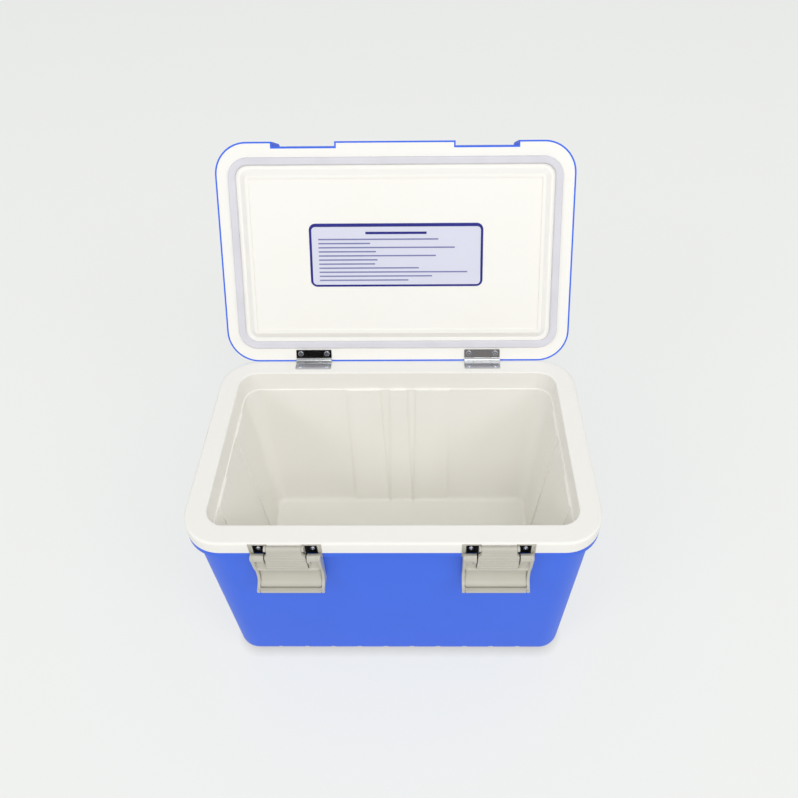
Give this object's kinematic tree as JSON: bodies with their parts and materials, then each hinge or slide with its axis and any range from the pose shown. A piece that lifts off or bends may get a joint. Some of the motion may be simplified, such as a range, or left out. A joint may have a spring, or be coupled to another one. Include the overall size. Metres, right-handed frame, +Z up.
{
  "type": "vaccine carrier",
  "caption": "Insulated cool box with a foam-filled tub, a hinged lid held open at its stop, a ring seal and two flip-up lever latches on the front.",
  "frame": {"origin": "centre of the base on the floor", "axes": "+X along the width to the right, -Y towards the front with the latches, +Z up"},
  "size_m": [0.45, 0.4614, 0.5286],
  "materials": {
    "shell_blue": "moulded polyethylene, fine matt grain",
    "liner_white": "moulded polyethylene, satin",
    "foam_core": "rigid polyurethane foam, sealed inside",
    "seal_rubber": "soft silicone seal",
    "label_face": "printed film with a border and ruled lines",
    "hinge_steel": "polished stainless steel",
    "pin_steel": "bright drawn stainless steel",
    "screw_steel": "stainless steel, pan heads",
    "backing_steel": "zinc-plated steel strip, sealed inside",
    "cup_black": "black moulded polypropylene",
    "latch_plastic": "moulded nylon, satin"
  },
  "bodies": {
    "body": {"outer_shell": "shell_blue", "liner": "liner_white", "body_foam": "foam_core", "left_hinge_body_leaf": "hinge_steel", "left_hinge_pin": "pin_steel", "left_hinge_body_screws": "screw_steel", "left_hinge_body_backing": "backing_steel", "left_latch_bracket": "latch_plastic", "left_bracket_screws": "screw_steel", "left_latch_backing": "backing_steel", "left_lever_pin": "pin_steel", "left_bracket_cups": "cup_black", "right_hinge_body_leaf": "hinge_steel", "right_hinge_pin": "pin_steel", "right_hinge_body_screws": "screw_steel", "right_hinge_body_backing": "backing_steel", "right_latch_bracket": "latch_plastic", "right_bracket_screws": "screw_steel", "right_latch_backing": "backing_steel", "right_lever_pin": "pin_steel", "right_bracket_cups": "cup_black"},
    "lid": {"lid_shell": "shell_blue", "lid_liner": "liner_white", "lid_foam": "foam_core", "lid_gasket": "seal_rubber", "label_plate": "label_face", "left_hinge_lid_leaf": "hinge_steel", "left_hinge_lid_screws": "screw_steel", "left_hinge_lid_backing": "backing_steel", "right_hinge_lid_leaf": "hinge_steel", "right_hinge_lid_screws": "screw_steel", "right_hinge_lid_backing": "backing_steel"},
    "left_lever": {"left_latch_lever": "latch_plastic"},
    "right_lever": {"right_latch_lever": "latch_plastic"}
  },
  "joints": [
    {"name": "lid_hinge", "type": "hinge", "parent": "body", "child": "lid", "pos_m": [0, 0.1355, 0.2823], "axis": [-1, 0, 0], "range_deg": [-116.5, 0]},
    {"name": "left_lever_pivot", "type": "hinge", "parent": "body", "child": "left_lever", "pos_m": [-0.111, -0.1415, 0.2765], "axis": [1, 0, 0], "range_deg": [-180, 0]},
    {"name": "right_lever_pivot", "type": "hinge", "parent": "body", "child": "right_lever", "pos_m": [0.111, -0.1415, 0.2765], "axis": [1, 0, 0], "range_deg": [-180, 0]}
  ]
}
